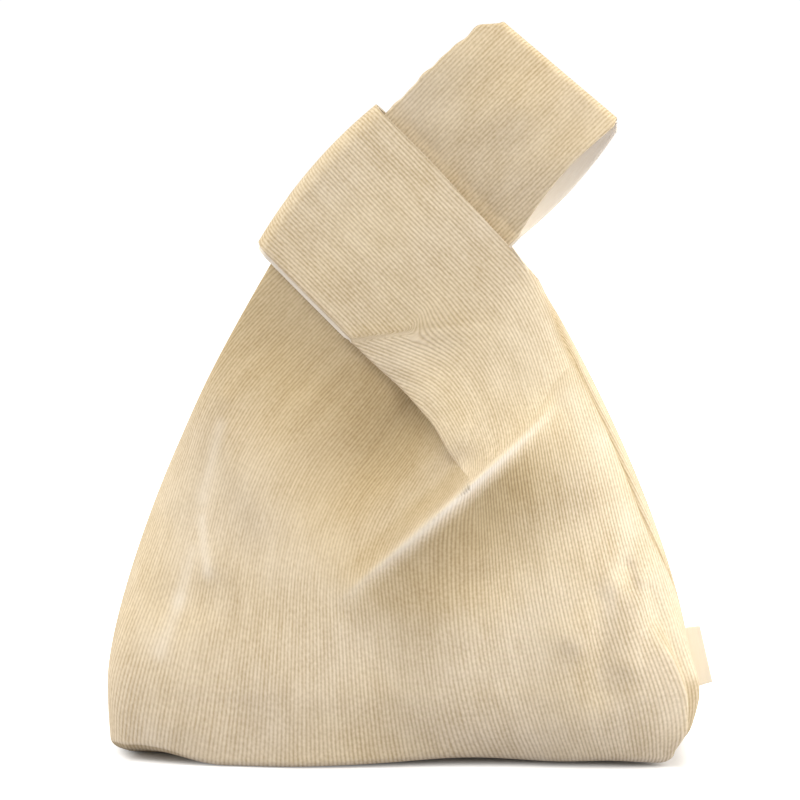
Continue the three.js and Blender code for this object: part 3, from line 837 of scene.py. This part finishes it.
# World places of points in the knot's frame, in metres.
def knotPlace(along, across):
    x, z = fromKnot(along, across)
    return ((x + body["shift"]) * 0.001, 0, z * 0.001)


# A lining's thread coordinates in mm, from the spacing of its grid.
def weaveMap(grid, across, along):
    return np.stack(np.meshgrid(np.arange(grid.shape[1]) * across, np.arange(grid.shape[0]) * along), -1)


lining = {
    "thickness": 0.6, "bodyInset": 3, "handleInset": 1.8, "lip": 2.5, "lipEnd": (37, 25), "lipRows": 60,
    "frontWiden": 0.2, "backWiden": 1.7,  # how much further the loop's lining goes on the right
}
# Painted shade on the long handle, darker up the loop.
loopPaintedShade = {"low": 0.08, "rise": 0.34, "along": (50, 112)}
# Each cut's flat width and length in metres, and its area in square metres.
flats = {
    "panel": ((0.40, 0.36), 0.085), "panelLining": ((0.40, 0.36), 0.085),
    "short": ((0.095, 0.2), 0.0165), "long": ((0.095, 0.2), 0.0145), "label": ((0.03, 0.025), None),
}

for side, name in ((-1, "front"), (1, "back")):
    def faced(grid):
        return grid if side < 0 else grid[:, ::-1]

    grid, cornerColumn, creaseAlong, creaseShade = bodyGrid(side)
    lean = bodyLean(grid[..., 0], grid[..., 2])
    under = side * (1 - ramp(grid[..., 2], 1, 14))
    wales = faced(waleMap(faced(grid), faced(lean), faced(under)))
    # Painted shade, and pale marks with a painted highlight on the pleat's crest.
    paintedShade, wearAndHighlight = panelPaintedLight(grid, side, creaseShade)
    panel = makeCloth(f"{name}_panel", faced(grid), faced(wales), corduroyCloth,
                      paintedShade=faced(paintedShade), wearAndHighlight=faced(wearAndHighlight))
    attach(panel, "bag")
    dress(panel, "corduroy", *flats["panel"], "stretched", f"outer_panel_{name}")

    inner = faced(grid) - outwardWay(faced(grid), side) * lining["bodyInset"]
    inner = inner[::2, ::2][:, ::-1]
    inside = makeCloth(f"{name}_panel_lining", inner, faced(wales)[::2, ::2][:, ::-1], cottonLining)
    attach(inside, "bag")
    dress(inside, "lining", *flats["panelLining"], "stretched", f"lining_panel_{name}")

    # The short handle's rows meet the panel's columns along the crease, and its wales run on from the panel's.
    apart = np.flatnonzero(np.diff(creaseAlong[cornerColumn:-1]) > 0.02) + cornerColumn + 1
    picked = np.concatenate([[cornerColumn], apart, [grid.shape[1] - 1]])
    sides = (creaseAlong[picked] - creaseAlong[cornerColumn]) / (creaseAlong[-1] - creaseAlong[cornerColumn])
    short = shortGrid(side, sides)
    shortX, shortZ = short[..., 0], short[..., 2]
    shortWales = faced(waleMap(faced(short), faced(shortLean(shortX, shortZ))))
    miss = wales[-1, picked] - shortWales[:, -1]
    fade = ramp(toKnot(shortX, shortZ)[1], 60, knot["crease"])[..., None]
    middle = np.mean(miss, 0)
    shortWales = shortWales + middle + (miss - middle)[:, None] * fade
    if side < 0:
        shortWales[..., 0] += tuckShift(shortX, shortZ)
    strip = makeCloth(f"{name}_short_handle", faced(short), faced(shortWales), corduroyCloth,
                      shortHandle["thickness"], "bTLR", faced(stripPaintedShade(short)),
                      outward=outwardWay(faced(short), side))
    knotPlace(0, knot["crease"])
    knotPlace(0, 50)
    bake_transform(strip)
    dress(strip, "corduroy", *flats["short"], "folded", f"short_handle_{name}")

    lipped = shortGrid(side, np.linspace(0, 1, lining["lipRows"]), lining["lip"])
    lipped = faced(lipped) - outwardWay(faced(lipped), side) * lining["handleInset"]
    facing = makeCloth(f"{name}_short_lining", lipped, weaveMap(lipped, 1.2, 1.5), cottonLining,
                       lining["thickness"], "bTLR", outward=outwardWay(lipped, side))
    knotPlace(0, knot["crease"])
    knotPlace(0, 50)
    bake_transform(facing)
    dress(facing, "lining", *flats["short"], "folded", f"short_handle_lining_{name}")

    strap = longGrid(side)
    strapWales = waleMap(faced(strap), np.full(strap.shape[:2], math.radians(45)))
    strapAlong = toKnot(strap[..., 0], strap[..., 2])[0]
    # Painted shade, rising up the loop.
    strapPaintedShade = loopPaintedShade["low"] + loopPaintedShade["rise"] * ramp(strapAlong, *loopPaintedShade["along"])
    loop = makeCloth(f"{name}_long_handle", faced(strap), strapWales, corduroyCloth, longHandle["thickness"],
                     "lrBT", faced(strapPaintedShade))
    knotPlace(56, 0)
    knotPlace(84, 0)
    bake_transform(loop)
    dress(loop, "corduroy", *flats["long"], "folded", f"long_handle_{name}", f"long_handle_loop_{name}")

    backing = longGrid(side, lining["frontWiden"] if side < 0 else lining["backWiden"])
    backing = faced(backing) - faceNormals(faced(backing)) * lining["handleInset"]
    loopLining = makeCloth(f"{name}_long_lining", backing, weaveMap(backing, 1.5, 1.17), cottonLining,
                           lining["thickness"], "lrBT")
    knotPlace(56, 0)
    knotPlace(84, 0)
    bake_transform(loopLining)
    dress(loopLining, "lining", *flats["long"], "folded", f"long_handle_lining_{name}",
          f"long_handle_loop_lining_{name}")
    print(name, "cut made")

thread = {
    "radius": 0.3, "inset": 2.1, "around": 9, "sideStart": 18, "sideShare": 0.97, "sidePoints": 60,
    "cornerOut": 134, "cornerBend": 9, "cornerHalf": 26, "cornerHeight": 9, "cornerPoints": 41,
    "base": (-130, 130, 60), "shortEnd": (-46, 44, 30), "longEnd": (-25, 42, 30),  # from, to, points
    "shortInset": 2.4, "longInset": 2.2,
}


# A run of thread: a circle carried along a path.
def makeThread(name, path, bodyName, node):
    path = np.stack(np.broadcast_arrays(*path), -1)
    way = oneLong(np.gradient(path, axis=0))
    first = oneLong(np.cross(way, (0.31, 0.42, 0.85)))  # a direction that no seam runs in
    second = np.cross(way, first)
    turn = np.linspace(0, 2 * math.pi, thread["around"])[None, :, None]
    grid = path[:, None] + thread["radius"] * (first[:, None] * np.cos(turn) + second[:, None] * np.sin(turn))
    length = np.concatenate([[0], np.cumsum(np.linalg.norm(np.diff(path, axis=0), axis=1))])
    wales = np.stack(np.meshgrid(np.linspace(0, 2, thread["around"]), length), -1)
    piece = makeCloth(name, grid[:, ::-1], wales[:, ::-1], spunThread)
    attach(piece, bodyName)
    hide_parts(node)


for way, name in ((-1, "left"), (1, "right")):
    top = columnTop(np.array([float(way)]))[0] * thread["sideShare"]
    heights = np.linspace(thread["sideStart"], top, thread["sidePoints"])
    sideways, inward = carryRound(way * halfWidth(heights), -body["gap"], heights, -1)
    sideways = sideways - way * (thread["inset"] + body["seamGroove"])
    makeThread(f"{name}_side_stitching", (sideways, inward, heights), "bag", f"side_seam_thread_{name}")
    swing = np.linspace(-1, 1, thread["cornerPoints"])
    cornerX = way * (thread["cornerOut"] - thread["cornerBend"] * np.abs(swing) ** 3)
    bend = (cornerX, thread["cornerHalf"] * swing, thread["cornerHeight"])
    makeThread(f"{name}_corner_stitching", bend, "bag", f"corner_seam_thread_{name}")
line = np.linspace(*thread["base"])
makeThread("base_stitching", (line, 0.0, thread["inset"]), "bag", "base_seam_thread")
line = np.linspace(*thread["shortEnd"])
endX, endZ = fromKnot(line, shortHandle["end"] - endLean(line) + thread["shortInset"])
makeThread("short_end_stitching", (endX, 0.0, endZ), "short_handle", "short_handle_end_thread")
line = np.linspace(*thread["longEnd"])
across = (line - longHandle["topLeft"]) / (longHandle["topRight"] - longHandle["topLeft"]) - 0.5
endX, endZ = fromKnot(longHandle["top"] + longHandle["topSlant"] * across - thread["longInset"], line)
makeThread("long_end_stitching", (endX, 0.0, endZ), "long_handle_loop", "long_handle_end_thread")
print("seams made")

label = {
    "height": 30, "reach": 10.4, "centre": 52.2, "half": 0.5, "thickness": 0.32, "root": -1.2,
    "droop": 0.33, "sag": 2.2, "curl": 0.35, "slopeReach": 14.0,
}


# Label: a tape folded double round a half circle, its ends in the side seam, reaching out less at its top.
def makeLabel():
    p = label
    straight = p["reach"] - p["half"]
    turn = np.linspace(-math.pi / 2, math.pi / 2, 13)
    flat = np.linspace(p["root"], straight, 14, endpoint=False)
    out = np.concatenate([flat, straight + p["half"] * np.cos(turn), flat[::-1]])
    deep = np.concatenate([0 * flat - p["half"], p["half"] * np.sin(turn), 0 * flat + p["half"]])
    up = np.linspace(-0.5, 0.5, 30)[:, None] * p["height"]
    seat = halfWidth(np.array(float(p["centre"])))
    above, below = (halfWidth(np.array(p["centre"] + step)) for step in (p["slopeReach"], -p["slopeReach"]))
    lean = math.atan((above - below) / p["height"])
    droop = 1 - p["droop"] * (up / p["height"] + 0.5)
    sag = p["sag"] * (0.5 - up / p["height"]) * (1 - np.clip(out / p["reach"], 0, 1))
    curl = p["curl"] * np.sin(up / p["height"] * math.pi) * np.clip(out, 0, None) / p["reach"]
    x = seat + out * droop * math.cos(lean) + up * math.sin(lean)
    z = p["centre"] + up * math.cos(lean) - out * droop * math.sin(lean) - sag
    grid = np.stack([x, deep + curl, z], -1)
    weave = np.stack(np.meshgrid(np.arange(grid.shape[1]) * 0.6, up[:, 0]), -1)
    tape = makeCloth("folded_label", grid, weave, wovenTape, p["thickness"], "btLR")
    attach(tape, "label")
    dress(tape, "label", *flats["label"], "folded", "woven_label")


makeLabel()
print("label made")

# The floor glows up to white for the camera away from the footprint. Near the footprint the glow falls away, a
# painted contact shadow that deepens the real one.
stageLook = {
    "floor": (182, 186, 206), "seenFloor": (240, 240, 240), "size": 12.0, "roughness": 0.9,
    "ambient": (0.275, 0.246, 0.202), "seenWall": 1.05,
    "footprint": (0.15, 0.0475, 0), "setBack": 0.0135, "setBackReach": 0.065,
    "under": -0.012, "contact": 0.006, "nearGlow": 0.55, "farGlow": 0.5, "farStart": 0.09,
}
lights = {
    "right": {"place": (1.3, -0.3, 0.75), "size": 1.8, "power": 33.5},
    "left": {"place": (-1.3, -0.27, 0.75), "size": 1.8, "power": 23.5},
    "top": {"place": (0.1, -0.35, 1.75), "size": 1.6, "power": 14},
}
lightAim = (0, 0, 0.2)
camera = {"lens": 100, "distance": 1.155, "azimuth": 5, "elevation": 8, "aim": (-0.0055, 0.0, 0.185)}


def makeFloor():
    s = stageLook
    half = s["size"] / 2
    corners = [(-half, -half, 0), (half, -half, 0), (half, half, 0), (-half, half, 0)]
    mesh = bpy.data.meshes.new("floor")
    mesh.from_pydata(corners, [], [(0, 1, 2, 3)])
    made, tree, surface = newMaterial("paper_floor", s["roughness"], 0.0, (1, 1, 1, 1))

    def vector(operation, *values):
        return node(tree, "ShaderNodeVectorMath", {"operation": operation}, *values)

    def part(value, which):
        return node(tree, "ShaderNodeSeparateXYZ", {}, value, out=which)

    def smooth(value, **limits):
        return node(tree, "ShaderNodeMapRange", {"interpolation_type": "SMOOTHSTEP"}, Value=value, **limits)

    ray = node(tree, "ShaderNodeLightPath", {}, out=0)
    paper = mixColour(tree, ray, linear(*s["floor"]), linear(*s["seenFloor"]))
    tree.links.new(paper.socket, surface.inputs["Base Color"])
    spot = node(tree, "ShaderNodeTexCoord", {}, out=3)
    reach = s["setBackReach"]
    setBack = smooth(part(spot, 0), From_Min=-reach, From_Max=reach, To_Max=s["setBack"])
    beyond = vector("SUBTRACT", vector("ABSOLUTE", spot), s["footprint"])
    away = part(beyond, 0).math("MAXIMUM", part(beyond, 1) + setBack)
    # Little glow near the footprint: painted contact shadow.
    near = smooth(away, From_Min=s["under"], From_Max=s["contact"], To_Max=s["nearGlow"])
    far = smooth(away, From_Max=s["farStart"], To_Max=s["farGlow"])
    seen = (near + far) * ray
    surface.inputs["Emission Strength"].default_value = 1
    glow = mixColour(tree, seen * 0.5, (0, 0, 0, 1), (2, 2, 2, 1))
    tree.links.new(glow.socket, surface.inputs["Emission Color"])
    mesh.materials.append(made)
    floor = linkPiece("floor", mesh)


def makeWorld():
    world = bpy.data.worlds.new("studio")
    bpy.context.scene.world = world
    world.use_nodes = True
    tree = world.node_tree
    ray = node(tree, "ShaderNodeLightPath", {}, out=0)
    fill = tree.nodes["Background"]
    fill.inputs["Strength"].default_value = 1
    sky = mixColour(tree, ray, (*stageLook["ambient"], 1), (*(stageLook["seenWall"],) * 3, 1))
    tree.links.new(sky.socket, fill.inputs["Color"])


def addLight(name, place, size, power):
    lamp = bpy.data.lights.new(name, "AREA")
    lamp.size, lamp.energy = size, power
    holder = linkPiece(name, lamp)
    holder.location = place
    holder.rotation_euler = (Vector(lightAim) - Vector(place)).to_track_quat("-Z", "Y").to_euler()


def makeCamera():
    lens = bpy.data.cameras.new("camera")
    lens.lens = camera["lens"]
    holder = linkPiece("camera", lens)
    turn, tilt = math.radians(camera["azimuth"]), math.radians(camera["elevation"])
    back = Vector((math.sin(turn) * math.cos(tilt), -math.cos(turn) * math.cos(tilt), math.sin(tilt)))
    holder.location = Vector(camera["aim"]) + back * camera["distance"]
    holder.rotation_euler = (-back).to_track_quat("-Z", "Y").to_euler()
    bpy.context.scene.camera = holder


makeFloor()
makeWorld()
for name, values in lights.items():
    addLight(name, **values)
makeCamera()
bpy.context.scene.view_settings.view_transform = "Standard"
print("stage made")
